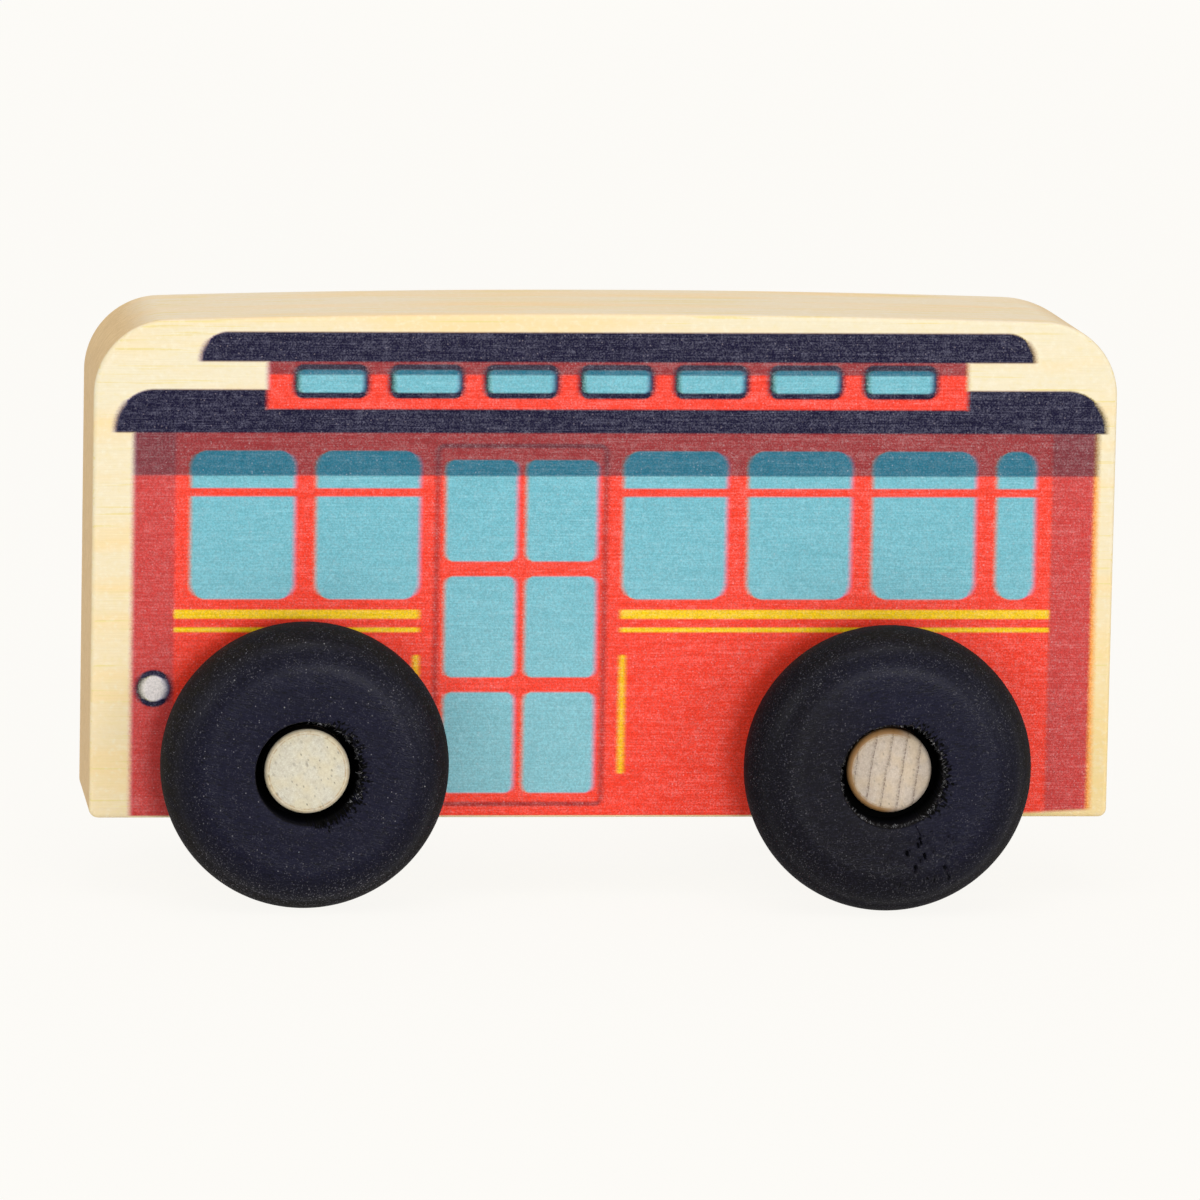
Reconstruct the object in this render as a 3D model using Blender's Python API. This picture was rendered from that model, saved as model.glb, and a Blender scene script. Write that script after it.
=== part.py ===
"""Wooden push-along toy trolley.

A solid maple block with a crowned roof line rolls on four turned wheels. Each wheel runs loose on
its own headed axle peg, and the two pegs of an axle are glued into one hole drilled through the block.

Lengths are in metres. The front end points to -X, the left side faces -Y and the wheels stand on z = 0.
"""
import math

import bmesh
import bpy

# Block
BLOCK_LENGTH = 0.136
BLOCK_HEIGHT = 0.0677
BLOCK_THICKNESS = 0.022
ROOF_CORNER_RADIUS = 0.010
ROOF_CROWN_RADIUS = 1.9
FLOOR_CORNER_RADIUS = 0.0018
BLOCK_EDGE_RADIUS = 0.0006

# Axle positions in the block
FRONT_AXLE_INSET = 0.028
WHEELBASE = 0.0772
AXLE_ABOVE_UNDERSIDE = 0.0085

# Axle pegs
PEG_SHANK_DIAMETER = 0.00635
PEG_HEAD_DIAMETER = 0.0113
PEG_HEAD_THICKNESS = 0.0035
PEG_HEAD_RIM_RADIUS = 0.0009
PEG_TIP_CHAMFER = 0.0006
PEG_TIP_SPACING = 0.001

# Wheels
WHEEL_DIAMETER = 0.0381
WHEEL_WIDTH = 0.0127
WHEEL_TREAD_WIDTH = 0.0011
WHEEL_HUB_LENGTH = 0.0048
COUNTERBORE_RIM_CHAMFER = 0.0003

# Clearances
SEAT_GAP = 0.0003
RUNNING_CLEARANCE = 0.00038
HEAD_CLEARANCE = 0.0013
WHEEL_END_FLOAT = 0.003

# Facets
WHEEL_SEGMENTS = 48
PEG_SEGMENTS = 32
CROWN_STEPS = 12
ROOF_CORNER_STEPS = 10
SHOULDER_STEPS = 7
SMALL_ARC_STEPS = 3
EDGE_STEPS = 2
EDGE_ANGLE = math.radians(50)
SMOOTH_ANGLE = math.radians(30)
MERGE_DISTANCE = 0.000001

# Colour, roughness
MAPLE = ((0.86, 0.72, 0.48, 1.0), 0.55)
DYED_WOOD = ((0.021, 0.019, 0.029, 1.0), 0.6)
BIRCH = ((0.66, 0.58, 0.45, 1.0), 0.65)

# Places that follow from the sizes above
HALF_LENGTH = BLOCK_LENGTH / 2
HALF_THICKNESS = BLOCK_THICKNESS / 2
AXLE_HEIGHT = WHEEL_DIAMETER / 2
UNDERSIDE_HEIGHT = AXLE_HEIGHT - AXLE_ABOVE_UNDERSIDE
FRONT_AXLE_X = FRONT_AXLE_INSET - HALF_LENGTH
HEAD_SEAT = HALF_THICKNESS + WHEEL_END_FLOAT + WHEEL_HUB_LENGTH


def arc(centre, radius, start, end, steps):
    """Points on a circular arc, both ends included."""
    angles = [start + (end - start) * step / steps for step in range(steps + 1)]
    return [(centre[0] + radius * math.cos(a), centre[1] + radius * math.sin(a)) for a in angles]


def wood(name, colour, roughness):
    """A plain wooden finish."""
    material = bpy.data.materials.new(name)
    material.use_nodes = True
    shader = material.node_tree.nodes["Principled BSDF"]
    shader.inputs["Base Color"].default_value = colour
    shader.inputs["Roughness"].default_value = roughness
    shader.inputs["Metallic"].default_value = 0.0
    return material


def finish_mesh(bm, name, material):
    """Turn a bmesh into a mesh with outward faces, smooth round surfaces and one material."""
    bmesh.ops.remove_doubles(bm, verts=bm.verts, dist=MERGE_DISTANCE)
    bmesh.ops.recalc_face_normals(bm, faces=bm.faces)
    mesh = bpy.data.meshes.new(name)
    bm.to_mesh(mesh)
    bm.free()
    mesh.shade_smooth()
    mesh.set_sharp_from_angle(angle=SMOOTH_ANGLE)
    if material:
        mesh.materials.append(material)
    return mesh


def turned_mesh(name, profile, segments, material=None):
    """Spin (radius, height) points about Z; a profile that starts off the axis is a closed ring."""
    bm = bmesh.new()
    verts = [bm.verts.new((radius, 0, height)) for radius, height in profile]
    edges = [bm.edges.new(pair) for pair in zip(verts, verts[1:])]
    if profile[0][0] > 0:
        edges.append(bm.edges.new((verts[-1], verts[0])))
    bmesh.ops.spin(bm, geom=verts + edges, cent=(0, 0, 0), axis=(0, 0, 1), angle=math.tau,
                   steps=segments, use_merge=True)
    return finish_mesh(bm, name, material)


def add_object(name, data, parent=None):
    """Link a new object, carried by its parent if it has one."""
    item = bpy.data.objects.new(name, data)
    bpy.context.scene.collection.objects.link(item)
    item.parent = parent
    return item


def block_outline():
    """Side view of the block, in X and Z: eased floor corners, rounded roof corners, crowned roof."""
    floor_x = HALF_LENGTH - FLOOR_CORNER_RADIUS
    floor_z = UNDERSIDE_HEIGHT + FLOOR_CORNER_RADIUS
    crown_centre = (0, UNDERSIDE_HEIGHT + BLOCK_HEIGHT - ROOF_CROWN_RADIUS)
    # Each roof corner touches the end face and lies against the inside of the crown's arc.
    corner_x = HALF_LENGTH - ROOF_CORNER_RADIUS
    corner_reach = math.sqrt((ROOF_CROWN_RADIUS - ROOF_CORNER_RADIUS) ** 2 - corner_x ** 2)
    corner_z = crown_centre[1] + corner_reach
    touch = math.atan2(corner_reach, corner_x)
    quarter = math.pi / 2

    outline = arc((floor_x, floor_z), FLOOR_CORNER_RADIUS, -quarter, 0, SMALL_ARC_STEPS)
    outline += arc((corner_x, corner_z), ROOF_CORNER_RADIUS, 0, touch, ROOF_CORNER_STEPS)
    outline += arc(crown_centre, ROOF_CROWN_RADIUS, touch, math.pi - touch, CROWN_STEPS)[1:-1]
    outline += arc((-corner_x, corner_z), ROOF_CORNER_RADIUS, math.pi - touch, math.pi,
                   ROOF_CORNER_STEPS)
    outline += arc((-floor_x, floor_z), FLOOR_CORNER_RADIUS, math.pi, math.pi + quarter,
                   SMALL_ARC_STEPS)
    return outline


def make_block(material):
    """The block: its outline extruded through the thickness, with eased edges."""
    bm = bmesh.new()
    verts = [bm.verts.new((x, -HALF_THICKNESS, z)) for x, z in block_outline()]
    face = bm.faces.new(verts)
    far_side = bmesh.ops.extrude_face_region(bm, geom=[face])["geom"]
    far_verts = [item for item in far_side if isinstance(item, bmesh.types.BMVert)]
    bmesh.ops.translate(bm, vec=(0, BLOCK_THICKNESS, 0), verts=far_verts)
    block = add_object("trolley_block", finish_mesh(bm, "trolley_block", material))

    edges = block.modifiers.new("eased_edges", "BEVEL")
    edges.width = BLOCK_EDGE_RADIUS
    edges.segments = EDGE_STEPS
    edges.limit_method = "ANGLE"
    edges.angle_limit = EDGE_ANGLE
    edges.use_clamp_overlap = False
    return block


def peg_mesh(material):
    """An axle peg, from its chamfered tip near the block's middle to its flat, round-rimmed head."""
    shank = PEG_SHANK_DIAMETER / 2
    head = PEG_HEAD_DIAMETER / 2
    tip = PEG_TIP_SPACING / 2
    head_end = HEAD_SEAT + PEG_HEAD_THICKNESS
    rim_centre = (head - PEG_HEAD_RIM_RADIUS, head_end - PEG_HEAD_RIM_RADIUS)

    profile = [(0, tip), (shank - PEG_TIP_CHAMFER, tip), (shank, tip + PEG_TIP_CHAMFER)]
    profile += [(shank, HEAD_SEAT), (head, HEAD_SEAT)]
    profile += arc(rim_centre, PEG_HEAD_RIM_RADIUS, 0, math.pi / 2, SMALL_ARC_STEPS)
    profile += [(0, head_end)]
    return turned_mesh("axle_peg", profile, PEG_SEGMENTS, material)


def wheel_mesh(material):
    """A round-shouldered wheel: a short hub runs on the shank, a deep counterbore hides the peg's head."""
    tread = WHEEL_DIAMETER / 2
    bore = PEG_SHANK_DIAMETER / 2 + RUNNING_CLEARANCE
    counterbore = PEG_HEAD_DIAMETER / 2 + HEAD_CLEARANCE
    shoulder = (WHEEL_WIDTH - WHEEL_TREAD_WIDTH) / 2
    rim = tread - shoulder
    quarter = math.pi / 2

    profile = [(bore, 0)]
    profile += arc((rim, shoulder), shoulder, -quarter, 0, SHOULDER_STEPS)
    profile += arc((rim, WHEEL_WIDTH - shoulder), shoulder, 0, quarter, SHOULDER_STEPS)
    profile += [(counterbore + COUNTERBORE_RIM_CHAMFER, WHEEL_WIDTH)]
    profile += [(counterbore, WHEEL_WIDTH - COUNTERBORE_RIM_CHAMFER)]
    profile += [(counterbore, WHEEL_HUB_LENGTH), (bore, WHEEL_HUB_LENGTH)]
    return turned_mesh("wheel", profile, WHEEL_SEGMENTS, material)


def drill(block, axle):
    """Cut an axle's peg hole through the block."""
    radius = PEG_SHANK_DIAMETER / 2 + SEAT_GAP
    profile = [(0, -BLOCK_THICKNESS), (radius, -BLOCK_THICKNESS), (radius, BLOCK_THICKNESS),
               (0, BLOCK_THICKNESS)]
    drill_bit = add_object(axle.name + "_drill", turned_mesh("drill", profile, PEG_SEGMENTS), axle)
    drill_bit.rotation_euler.x = math.pi / 2
    drill_bit.hide_render = True
    drill_bit.display_type = "WIRE"

    hole = block.modifiers.new(axle.name + "_hole", "BOOLEAN")
    hole.operation = "DIFFERENCE"
    hole.solver = "EXACT"
    hole.object = drill_bit


def place(name, mesh, axle, side, distance):
    """Put a turned piece on an axle with its outer end pointing to one side of the block."""
    piece = add_object(name, mesh, axle)
    piece.location.y = side * distance
    piece.rotation_euler.x = -side * math.pi / 2


def main():
    for item in list(bpy.data.objects):
        bpy.data.objects.remove(item, do_unlink=True)

    block = make_block(wood("maple", *MAPLE))
    peg = peg_mesh(wood("birch", *BIRCH))
    wheel = wheel_mesh(wood("dyed_wood", *DYED_WOOD))

    # The front wheels are pushed home against the block, the rear ones drawn out to their peg heads.
    axles = (
        ("front", FRONT_AXLE_X, SEAT_GAP),
        ("rear", FRONT_AXLE_X + WHEELBASE, WHEEL_END_FLOAT - SEAT_GAP),
    )
    for end, axle_x, wheel_gap in axles:
        axle = add_object(end + "_axle", None)
        axle.location = (axle_x, 0, AXLE_HEIGHT)
        drill(block, axle)
        for hand, side in (("left", -1), ("right", 1)):
            place(f"{end}_{hand}_axle_peg", peg, axle, side, 0)
            place(f"{end}_{hand}_wheel", wheel, axle, side, HALF_THICKNESS + wheel_gap)


main()
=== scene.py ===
import math

import bmesh
import bpy
from mathutils import Matrix, Vector


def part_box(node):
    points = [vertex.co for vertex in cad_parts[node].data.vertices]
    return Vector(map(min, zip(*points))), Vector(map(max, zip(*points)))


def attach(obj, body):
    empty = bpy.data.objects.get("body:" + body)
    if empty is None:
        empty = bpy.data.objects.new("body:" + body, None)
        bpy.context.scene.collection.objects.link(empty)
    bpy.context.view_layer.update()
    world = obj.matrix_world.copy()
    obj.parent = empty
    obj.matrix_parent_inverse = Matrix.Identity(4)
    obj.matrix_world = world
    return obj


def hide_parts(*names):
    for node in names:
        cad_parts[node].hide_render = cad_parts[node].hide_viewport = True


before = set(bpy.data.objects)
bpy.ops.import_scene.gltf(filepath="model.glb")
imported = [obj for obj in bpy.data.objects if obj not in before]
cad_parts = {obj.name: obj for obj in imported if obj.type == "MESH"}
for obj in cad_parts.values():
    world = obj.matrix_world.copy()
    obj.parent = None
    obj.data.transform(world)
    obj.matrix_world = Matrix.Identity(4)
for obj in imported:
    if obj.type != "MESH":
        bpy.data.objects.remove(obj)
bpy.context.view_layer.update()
mm = 0.001
print("frame loaded, nodes:", len(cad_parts))


# Node tools, shared by the shader groups, the materials and the geometry trees. A value is a socket, a node
# for its first output, or plain; a new node joins the tree of its inputs, or the one that is named.

def feed(socket, value):
    if isinstance(value, bpy.types.Node):
        value = value.outputs[0]
    if isinstance(value, bpy.types.NodeSocket):
        socket.id_data.links.new(value, socket)
    elif socket.type == "RGBA":
        socket.default_value = (*value, 1)
    else:
        socket.default_value = value


def feedAll(item, sockets):
    for name, value in sockets.items():
        feed(item.inputs[name], value)


def treeOf(values):
    kinds = (bpy.types.Node, bpy.types.NodeSocket)
    return next(value.id_data for value in values if isinstance(value, kinds))


def addNode(kind, sockets, tree=None, **settings):
    item = (tree or treeOf(sockets.values())).nodes.new(kind)
    for name, value in settings.items():
        setattr(item, name, value)
    feedAll(item, sockets)
    return item


def calc(operation, *values):
    return addNode("ShaderNodeMath", dict(enumerate(values)), operation=operation)


def chain(operation, values):
    total = values[0]
    for value in values[1:]:
        total = calc(operation, total, value)
    return total


def times(*values):
    return chain("MULTIPLY", values)


def plus(*values):
    return chain("ADD", values)


def minus(*values):
    return chain("SUBTRACT", values)


def largest(*values):
    return chain("MAXIMUM", values)


def vectorCalc(operation, *values):
    item = addNode("ShaderNodeVectorMath", dict(enumerate(values)), operation=operation)
    return item.outputs["Value" if operation in ("LENGTH", "DISTANCE", "DOT_PRODUCT") else "Vector"]


def joinAxes(x, y, z):
    return addNode("ShaderNodeCombineXYZ", {"X": x, "Y": y, "Z": z})


def splitAxes(vector):
    return addNode("ShaderNodeSeparateXYZ", {"Vector": vector}).outputs


def ramp(value, low, high, bottom=0.0, top=1.0):
    sockets = {"Value": value, "From Min": low, "From Max": high, "To Min": bottom, "To Max": top}
    return addNode("ShaderNodeMapRange", sockets, interpolation_type="SMOOTHSTEP")


def noise(vector, scale, detail=2.0, roughness=0.5):
    sockets = {"Vector": vector, "Scale": scale, "Detail": detail, "Roughness": roughness}
    return addNode("ShaderNodeTexNoise", sockets)


def paint(share, under, over, mode="MIX"):
    sockets = {0: share, 6: under, 7: over}
    return addNode("ShaderNodeMix", sockets, data_type="RGBA", blend_type=mode).outputs[2]


def layers(colour, *coats):
    for share, tone in coats:
        colour = paint(share, colour, tone)
    return colour


def startGroup(name, kind, takes, gives):
    # A number in takes is a float or an integer input with that value, a word is a kind of socket
    tree = bpy.data.node_groups.new(name, kind)
    for title, value in takes.items():
        word = value if isinstance(value, str) else {float: "Float", int: "Int"}[type(value)]
        socket = tree.interface.new_socket(title, in_out="INPUT", socket_type="NodeSocket" + word)
        if not isinstance(value, str):
            socket.default_value = value
    for title, word in gives.items():
        tree.interface.new_socket(title, in_out="OUTPUT", socket_type="NodeSocket" + word)
    return tree, tree.nodes.new("NodeGroupInput").outputs, tree.nodes.new("NodeGroupOutput").inputs


def useGroup(group, sockets):
    return addNode("ShaderNodeGroup", sockets, node_tree=group).outputs


def startMaterial(name, specular):
    material = bpy.data.materials.new(name)
    material.use_nodes = True
    tree = material.node_tree
    shader = tree.nodes["Principled BSDF"]
    feed(shader.inputs["Specular IOR Level"], specular)
    return material, tree, shader


def millimetres(tree, centre=(0, 0, 0)):
    # Object coordinates in millimetres, counted from a centre that is given in metres
    coordinate = tree.nodes.new("ShaderNodeTexCoord")
    sockets = {"Vector": coordinate.outputs["Object"], "Scale": (1 / mm,) * 3,
               "Location": tuple(-value / mm for value in centre)}
    return addNode("ShaderNodeMapping", sockets), coordinate.outputs["Normal"]


def turned(vector, angles):
    sockets = {"Vector": vector, "Rotation": tuple(math.radians(angle) for angle in angles)}
    return addNode("ShaderNodeMapping", sockets)


def bump(height, strength, distance):
    return addNode("ShaderNodeBump", {"Height": height, "Strength": strength, "Distance": distance})


# Shader groups: wood grain along X, scattered specks, a panel whose upright edges smear along the grain

def makeWoodGrain():
    takes = {"Vector": "Vector", "Streak Width": 1.0, "Fibre Width": 0.15, "Stretch": 30.0}
    gives = {"Streak": "Float", "Fibre": "Float"}
    tree, given, result = startGroup("woodGrain", "ShaderNodeTree", takes, gives)
    for title, detail in (("Streak", 2.0), ("Fibre", 3.0)):
        width = given[title + " Width"]
        cell = joinAxes(times(width, given["Stretch"]), width, width)
        where = vectorCalc("DIVIDE", given["Vector"], cell)
        feed(result[title], noise(where, 1.0, detail, 0.55))
    return tree


def spots(vector, spacing, radius, share):
    # Round spots in a share of the cells, each with a strength of its own
    cells = addNode("ShaderNodeTexVoronoi", {"Vector": vector, "Scale": calc("DIVIDE", 1.0, spacing)})
    distance = times(cells.outputs["Distance"], spacing)
    spot = ramp(distance, radius, times(radius, 0.4))
    draw, strength, _ = splitAxes(cells.outputs["Color"])
    kept = calc("LESS_THAN", draw, share)
    return times(spot, kept, ramp(strength, 0.0, 1.0, 0.35, 1.0))


def makeSpecks():
    takes = {"Vector": "Vector", "Spacing": 1.0, "Radius": 0.15, "Share": 0.5}
    tree, given, result = startGroup("specks", "ShaderNodeTree", takes, {"Mask": "Float"})
    feed(result["Mask"], spots(*(given[name] for name in takes)))
    return tree


def makePanel():
    takes = {"X": 0.0, "H": 0.0, "Middle X": 0.0, "Middle H": 0.0, "Half Width": 1.0, "Half Height": 1.0,
             "Corner": 0.0, "Soft": 0.1, "Smear": 3.2}
    tree, given, result = startGroup("panel", "ShaderNodeTree", takes, {"Mask": "Float"})
    reach = []
    for axis, half in (("X", "Half Width"), ("H", "Half Height")):
        away = calc("ABSOLUTE", minus(given[axis], given["Middle " + axis]))
        straight = minus(given[half], given["Corner"])
        reach.append(minus(away, straight))
    outside = vectorCalc("LENGTH", vectorCalc("MAXIMUM", joinAxes(*reach, 0.0), (0, 0, 0)))
    inside = calc("MINIMUM", largest(*reach), 0.0)
    distance = minus(plus(outside, inside), given["Corner"])
    smear = ramp(minus(*reach), -0.5, 0.5, 1.0, given["Smear"])
    soft = times(given["Soft"], smear)
    feed(result["Mask"], ramp(distance, soft, times(soft, -1.0)))
    return tree


woodGrain = makeWoodGrain()
specks = makeSpecks()
panel = makePanel()
print("shader groups built")


def grainAlong(vector, streak, fibre, stretch):
    sockets = {"Vector": vector, "Streak Width": streak, "Fibre Width": fibre, "Stretch": stretch}
    return useGroup(woodGrain, sockets)


def scatter(vector, spacing, radius, share):
    sockets = {"Vector": vector, "Spacing": spacing, "Radius": radius, "Share": share}
    return useGroup(specks, sockets)["Mask"]


# Livery printed on both sides: millimetres along the block from its middle, and up from its underside

livery = {
    "edge": 0.17,                                   # softness of a level printed edge
    "body": (-62.6, 65.75, -3.0, 52.6, 0.0),        # left, right, low, high, corner radius
    "amberEdge": (64.85, 65.55),                    # where the red thins out to amber
    "liftedCorner": (46.0, 0.055),                  # where the ink starts to lift off the floor edge, slope
    "pillarMiddle": 1.3,
    "pillarReach": 58.3,
    "frontWindows": (-55.0, 13.8, 16.6, 2),         # first left edge, width, pitch, count
    "rearWindows": (2.4, 13.8, 16.6, 3),
    "endWindow": (52.2, 57.4),
    "windowHeights": (29.5, 49.4, 2.2),             # low, high, corner radius
    "transom": (43.3, 44.4),
    "door": (-22.6, 0.4, 1.6, 50.4, 1.2),
    "doorFrame": 0.6,
    "doorPanes": (-21.2, 9.5, 10.7, 2),
    "doorPaneHeights": (3.4, 13.6, 15.6, 3),        # lowest edge, height, pitch, count
    "doorPaneCorner": 1.2,
    "stripes": ((26.9, 28.1), (25.1, 25.7)),
    "stripeEnd": 1.9,                               # bare stretch beside the door
    "rails": (-11.1, 13.4, 14.1, 6.0, 22.0, 0.35),  # middle, inner, outer, low, high, corner radius
    "eave": (45.9, 46.3),
    "lowerRoof": (-65.2, 66.8, 40.0, 57.6, 5.4),
    "lowerRoofFloor": 51.8,
    "deck": (-45.0, 48.0, 55.0, 62.0, 0.0),
    "deckPanes": (-40.9, 8.6, 12.6, 7),
    "deckPaneHeights": (57.2, 60.2, 0.7),
    "deckPaneFrame": 0.8,
    "deckShade": (59.4, 59.8),
    "upperRoof": (-54.0, 57.0, 50.0, 65.3, 3.8),
    "upperRoofFloor": 61.3,
    "lamp": (-59.6, 17.5, 1.7, 2.5),                # middle, height, lens radius, ring radius
    "shadeCover": 0.7,                              # how much the shade under an eave hides
}
inks = {
    "red": (0.905, 0.045, 0.019),
    "pillarRed": (0.578, 0.047, 0.042),
    "doorRed": (0.400, 0.020, 0.016),
    "glassHigh": (0.160, 0.472, 0.558),
    "glassLow": (0.213, 0.504, 0.572),
    "yellow": (0.910, 0.580, 0.000),
    "navy": (0.001, 0.000, 0.020),
    "shade": (0.033, 0.022, 0.038),
    "amber": (0.900, 0.330, 0.060),
    "glassShade": (0.018, 0.152, 0.230),
    "lens": (0.75, 0.70, 0.68),
}


def makeLivery(sizes, colours):
    takes = {"X": 0.0, "H": 0.0}
    gives = {"Color": "Color", "Ink": "Float"}
    tree, given, result = startGroup("trolleyLivery", "ShaderNodeTree", takes, gives)
    x, h = given["X"], given["H"]
    edge = sizes["edge"]

    def area(left, right, low, high, corner, across=x, up=h):
        return useGroup(panel, {
            "X": across, "H": up, "Middle X": (left + right) / 2, "Middle H": (low + high) / 2,
            "Half Width": (right - left) / 2, "Half Height": (high - low) / 2,
            "Corner": corner, "Soft": edge})["Mask"]

    def band(low, high):
        return area(-99, 99, low, high, 0.0)

    def row(value, first, size, pitch, count):
        # Place within one of the repeats, counted from its middle, and whether there is a repeat here
        along = minus(value, first - (pitch - size) / 2)
        inRow = calc("COMPARE", along, pitch * count / 2, pitch * count / 2)
        return minus(calc("FLOORED_MODULO", along, pitch), pitch / 2), inRow

    def panes(spec, heights, grow=0.0):
        local, inRow = row(x, *spec)
        low, high, corner = heights
        half = spec[1] / 2 + grow
        return times(area(-half, half, low - grow, high + grow, corner + grow, across=local), inRow)

    def roof(name):
        floor = sizes[name + "Floor"]
        return times(area(*sizes[name]), ramp(h, floor - edge, floor + edge))

    def without(mask):
        return minus(1.0, mask)

    # Body and its end pillars
    liftStart, liftSlope = sizes["liftedCorner"]
    lifted = times(minus(x, liftStart), liftSlope)
    body = times(area(*sizes["body"]), ramp(minus(h, lifted), -0.3, 0.3))
    fromMiddle = calc("ABSOLUTE", minus(x, sizes["pillarMiddle"]))
    pillar = ramp(fromMiddle, sizes["pillarReach"] - 2 * edge, sizes["pillarReach"] + 2 * edge)
    coats = [(pillar, colours["pillarRed"]), (ramp(x, *sizes["amberEdge"]), colours["amber"])]

    # Windows with a transom bar, then the framed double door with three panes to a leaf
    glass = paint(ramp(h, 4.0, 46.0), colours["glassLow"], colours["glassHigh"])
    windows = [panes(sizes[name], sizes["windowHeights"]) for name in ("frontWindows", "rearWindows")]
    windows = largest(*windows, area(*sizes["endWindow"], *sizes["windowHeights"]))
    windows = times(windows, without(band(*sizes["transom"])))
    left, right, low, high, corner = sizes["door"]
    rim = sizes["doorFrame"]
    doorway = area(left, right, low, high, corner)
    leaf = area(left + rim, right - rim, low + rim, high - rim, corner - rim)
    acrossPane, inPaneRow = row(x, *sizes["doorPanes"])
    upPane, inPaneColumn = row(h, *sizes["doorPaneHeights"])
    halfWidth = sizes["doorPanes"][1] / 2
    halfHeight = sizes["doorPaneHeights"][1] / 2
    pane = area(-halfWidth, halfWidth, -halfHeight, halfHeight, sizes["doorPaneCorner"], acrossPane, upPane)
    pane = times(pane, inPaneRow, inPaneColumn)
    coats += [(windows, glass), (doorway, colours["doorRed"]), (leaf, colours["red"]), (pane, glass)]

    # Yellow stripes that stop at the door and the pillars, and a handrail on each side of the door
    stripes = largest(*(band(*heights) for heights in sizes["stripes"]))
    door = area(left - sizes["stripeEnd"], right + sizes["stripeEnd"], -9, 99, 0.0)
    stripes = times(stripes, without(door), without(pillar))
    railMiddle, inner, outer, low, high, corner = sizes["rails"]
    fromDoor = calc("ABSOLUTE", minus(x, railMiddle))
    rails = area(inner, outer, low, high, corner, across=fromDoor)
    coats += [(stripes, colours["yellow"]), (rails, colours["yellow"])]

    # Head lamp in its ring
    middle, height, lens, ring = sizes["lamp"]
    for radius, ink in ((ring, "navy"), (lens, "lens")):
        disc = area(middle - radius, middle + radius, height - radius, height + radius, radius)
        coats.append((disc, colours[ink]))

    # Eave shade, lower roof, raised deck with its row of framed panes, upper roof
    eave = ramp(h, *sizes["eave"])
    lowerRoof = roof("lowerRoof")
    deck = area(*sizes["deck"])
    frames = panes(sizes["deckPanes"], sizes["deckPaneHeights"], sizes["deckPaneFrame"])
    deckGlass = panes(sizes["deckPanes"], sizes["deckPaneHeights"])
    deckShade = times(deck, ramp(h, *sizes["deckShade"]))
    upperRoof = roof("upperRoof")
    coats += [
        (times(eave, sizes["shadeCover"]), colours["shade"]),
        (times(eave, largest(windows, pane)), colours["glassShade"]),
        (lowerRoof, colours["navy"]),
        (deck, colours["red"]),
        (frames, colours["navy"]),
        (deckGlass, colours["glassHigh"]),
        (times(deckShade, sizes["shadeCover"]), colours["shade"]),
        (times(deckShade, deckGlass), colours["glassShade"]),
        (upperRoof, colours["navy"]),
    ]
    feed(result["Color"], layers(colours["red"], *coats))
    feed(result["Ink"], largest(body, lowerRoof, deck, upperRoof))
    return tree


trolleyLivery = makeLivery(livery, inks)
print("livery built, nodes:", len(trolleyLivery.nodes))


# The block: a crowned maple board with rounded roof corners, drilled for its pegs

blockLow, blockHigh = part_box("trolley_block")
block = {
    "roofCorner": 10.0 * mm,
    "wornCorner": 13.3 * mm,        # the rear roof corner is sanded rounder on the right side
    "roofCrown": 1900 * mm,
    "frontFloorCorner": 1.3 * mm,
    "rearFloorCorner": 1.1 * mm,
    "easedEdge": 0.6 * mm,
    "pegHole": 3.475 * mm,
    "cornerSteps": 28,
    "crownSteps": 40,
    "edgeSteps": 4,
    "edgeAngle": 50,        # degrees past which an edge is eased
    "holeSegments": 64,
}
maple = {
    "cream": (0.862, 0.770, 0.553),
    "warm": (0.915, 0.715, 0.395),
    "streak": (0.835, 0.695, 0.300),
    "foot": (0.920, 0.680, 0.250),      # yellower wood at the low rear corner
    "pale": (0.945, 0.905, 0.760),
    "topGrainAndLightCast": (1.070, 1.005, 1.000),   # rosier than the sides, as a factor: partly sanded grain, partly a painted cast of light
    "endGrain": (0.810, 0.573, 0.292),
    "endGrainDark": (0.660, 0.440, 0.205),
    "pin": (0.300, 0.180, 0.080),
    "paper": (0.820, 0.700, 0.760),     # pale pinholes in the ink, their pinkish-white partly a painted glint off the varnish
    "glint": (0.010, 0.006, 0.075),     # painted bluish glint on dark ink where its varnish stands in beads
    "plateShift": 0.06,     # millimetres that two of the ink plates sit off the third
    "inkBleed": 0.6,        # millimetres that ink creeps along the fibres, for the full swing of the noise
    "specular": 0.12,
    "varnishIor": 2.2,
    "varnishRoughness": 0.4,
}


def arcPoints(centreX, centreZ, radius, start, end, steps):
    angles = [start + (end - start) * step / steps for step in range(steps + 1)]
    return [(centreX + radius * math.cos(a), centreZ + radius * math.sin(a)) for a in angles]


def blockOutline(sizes, rearRoof):
    half = (blockHigh.x - blockLow.x) / 2
    crown = sizes["roofCrown"]
    crownZ = blockHigh.z - crown
    quarter = math.pi / 2
    steps = sizes["cornerSteps"]

    def roofCorner(radius):
        # Middle of a corner that touches the end and the crown, and the angle at which it meets the crown
        x = half - radius
        reach = math.sqrt((crown - radius) ** 2 - x ** 2)
        return x, crownZ + reach, math.atan2(reach, x)

    frontRoof = sizes["roofCorner"]
    rearX, rearZ, rearTouch = roofCorner(rearRoof)
    frontX, frontZ, frontTouch = roofCorner(frontRoof)
    rear = sizes["rearFloorCorner"]
    front = sizes["frontFloorCorner"]
    outline = arcPoints(half - rear, blockLow.z + rear, rear, -quarter, 0, steps // 4)
    outline += arcPoints(rearX, rearZ, rearRoof, 0, rearTouch, steps)
    outline += arcPoints(0, crownZ, crown, rearTouch, math.pi - frontTouch, sizes["crownSteps"])[1:-1]
    outline += arcPoints(-frontX, frontZ, frontRoof, math.pi - frontTouch, math.pi, steps)
    outline += arcPoints(front - half, blockLow.z + front, front, math.pi, math.pi + quarter, steps // 4)
    return outline


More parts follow.
